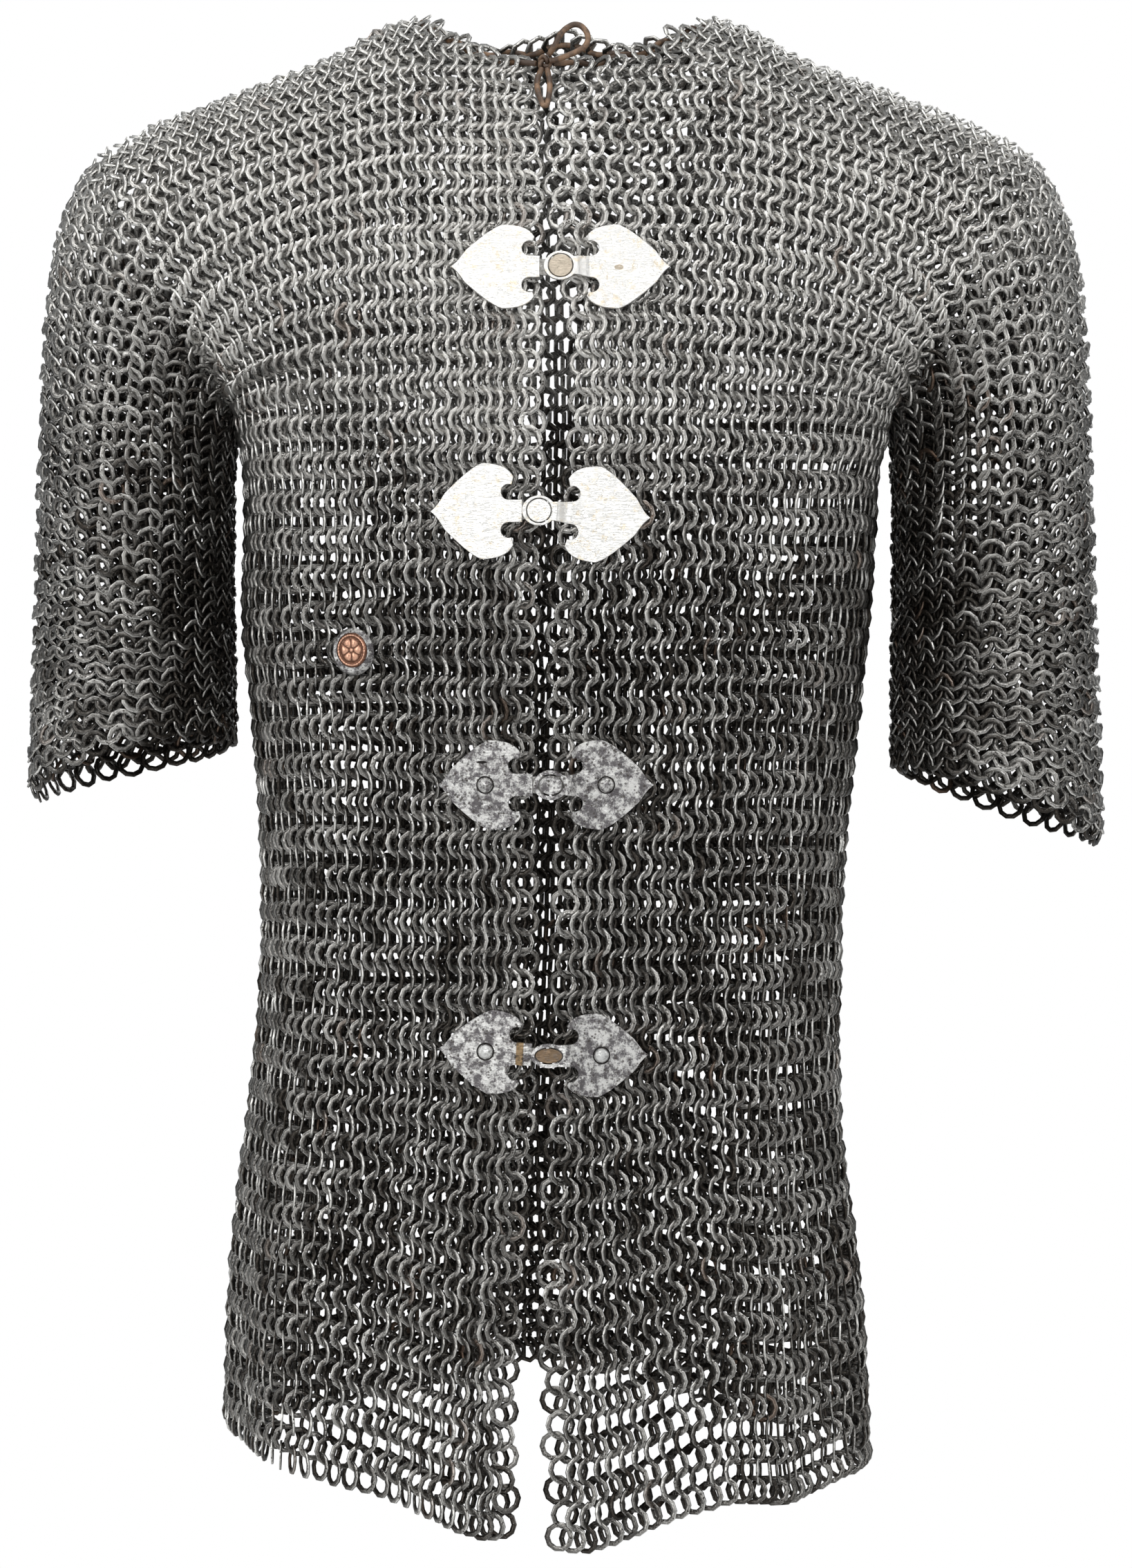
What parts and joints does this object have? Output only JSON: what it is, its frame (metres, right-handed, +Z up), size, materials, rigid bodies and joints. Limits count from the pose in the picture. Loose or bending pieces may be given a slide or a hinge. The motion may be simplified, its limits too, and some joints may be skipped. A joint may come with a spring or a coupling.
{
  "type": "chainmail hauberk",
  "caption": "Short-sleeved shirt of linked metal rings, open down the front and held by leaf-shaped clasps, with a lace at the neck.",
  "frame": {"origin": "between the shoulders, at the height of the base of the neck", "axes": "+Z up, +X to the viewer's right, -Y out of the front"},
  "size_m": [0.5652, 0.257, 0.7883],
  "materials": {
    "mail": "tumbled, pitted iron rings, brighter on the shoulders",
    "bright_clasp": "polished, lightly scratched",
    "worn_clasp": "grey, mottled with dark pits",
    "copper": "dull copper with a dark patina in the low places",
    "leather": "waxed brown thong"
  },
  "bodies": {
    "root": {"front_right": "mail", "front_left": "mail", "back": "mail", "sleeve_right": "mail", "sleeve_left": "mail", "clasp_1_tongue_leaf": "bright_clasp", "clasp_1_eye_leaf": "bright_clasp", "clasp_1_stud": "bright_clasp", "clasp_2_tongue_leaf": "bright_clasp", "clasp_2_eye_leaf": "bright_clasp", "clasp_2_stud": "bright_clasp", "clasp_3_tongue_leaf": "worn_clasp", "clasp_3_eye_leaf": "worn_clasp", "clasp_3_stud": "worn_clasp", "clasp_3_rivet_left": "worn_clasp", "clasp_3_rivet_right": "worn_clasp", "clasp_4_tongue_leaf": "worn_clasp", "clasp_4_eye_leaf": "worn_clasp", "clasp_4_stud": "worn_clasp", "clasp_4_rivet_left": "worn_clasp", "clasp_4_rivet_right": "worn_clasp", "medallion_washer": "worn_clasp", "medallion_disc": "copper", "lace_band": "leather", "lace_knot": "leather", "lace_loop": "leather", "lace_drop": "leather"}
  },
  "joints": []
}
